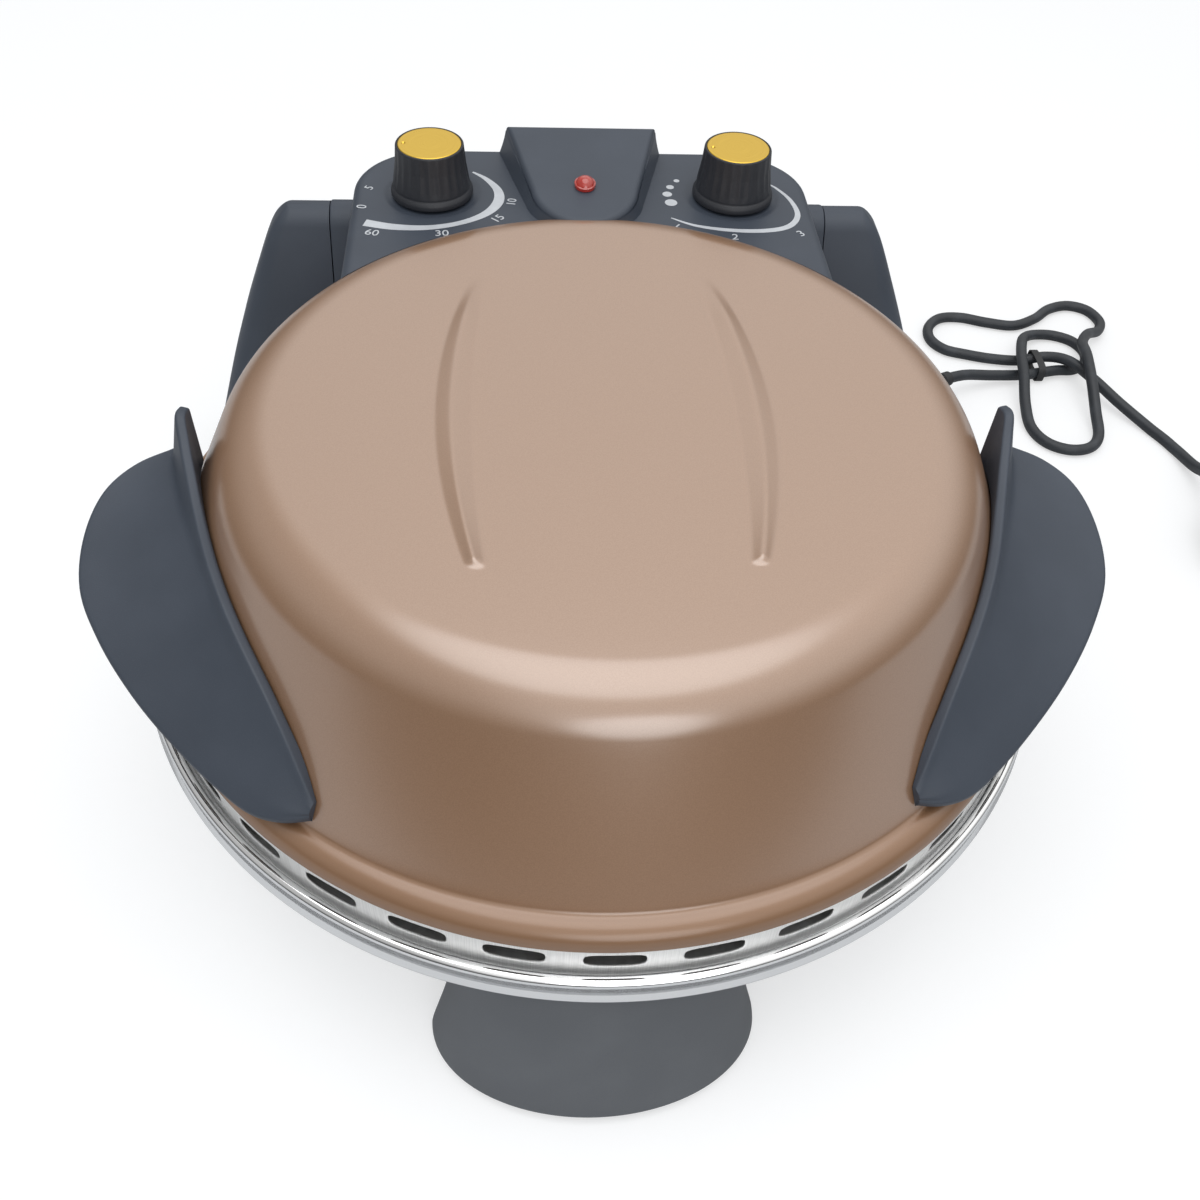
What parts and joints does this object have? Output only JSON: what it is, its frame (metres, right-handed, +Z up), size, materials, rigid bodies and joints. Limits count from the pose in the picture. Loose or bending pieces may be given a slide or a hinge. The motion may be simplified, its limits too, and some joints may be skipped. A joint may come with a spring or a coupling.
{
  "type": "electric pizza maker",
  "caption": "Countertop pizza oven with a hinged copper dome lid, black ear handles, rear console with two knobs, vented steel ring, chrome bowl and baking stone.",
  "frame": {"origin": "on the table, under the axis of the round lid", "axes": "+Z up, -Y towards the user (front foot), +X to the user's right"},
  "size_m": [0.528, 0.4778, 0.1733],
  "materials": {
    "copper_paint": "satin metallic copper paint",
    "brushed_steel": "brushed",
    "element_steel": "heat-darkened",
    "black_plastic": "fine satin texture",
    "knob_plastic": "satin gloss",
    "gold": "gold anodised",
    "red_lens": "clear red",
    "white_plastic": "plain",
    "zinc": "zinc plated",
    "zinc_sheet": "zinc-coated sheet",
    "aluminium_sheet": "satin sheet",
    "chrome": "polished",
    "stone": "fired refractory stone",
    "rubber": "matte",
    "cord_rubber": "smooth black PVC"
  },
  "bodies": {
    "base": {"hinge_pin_left": "zinc", "hinge_pin_right": "zinc", "leg_left": "black_plastic", "leg_right": "black_plastic", "front_foot": "black_plastic", "foot_pads": "rubber", "bottom_cover": "zinc_sheet", "bottom_screws": "zinc", "chrome_bowl": "chrome", "inner_tray": "aluminium_sheet", "baking_stone": "stone", "lower_element": "element_steel", "lower_element_clips": "brushed_steel", "cord_gland": "rubber", "cord_lead": "cord_rubber", "cord_bundle": "cord_rubber", "cord_tail": "cord_rubber", "cord_tie": "cord_rubber", "plug_body": "cord_rubber", "plug_pins": "chrome"},
    "lid": {"lid_shell": "copper_paint", "reflector_dome": "brushed_steel", "upper_element": "element_steel", "upper_element_clips": "brushed_steel", "ear_handle_left": "black_plastic", "ear_handle_right": "black_plastic", "handle_screws": "zinc", "console_housing": "black_plastic", "console_cover": "black_plastic", "console_screws": "zinc", "timer_body": "white_plastic", "thermostat_body": "white_plastic", "lamp_lens": "red_lens", "lamp_holder": "white_plastic"},
    "timer": {"timer_knob": "knob_plastic", "timer_disc": "gold", "timer_shaft": "zinc"},
    "thermostat": {"thermostat_knob": "knob_plastic", "thermostat_disc": "gold", "thermostat_shaft": "zinc"}
  },
  "joints": [
    {"name": "lid_hinge", "type": "hinge", "parent": "base", "child": "lid", "pos_m": [0, 0.168, 0.124], "axis": [-1, 0, 0], "range_deg": [0, 100]},
    {"name": "timer_turn", "type": "hinge", "parent": "lid", "child": "timer", "pos_m": [-0.065, 0.149, 0.16], "axis": [0, 0, -1], "range_deg": [0, 300]},
    {"name": "thermostat_turn", "type": "hinge", "parent": "lid", "child": "thermostat", "pos_m": [0.065, 0.149, 0.16], "axis": [0, 0, -1], "range_deg": [0, 270]}
  ]
}
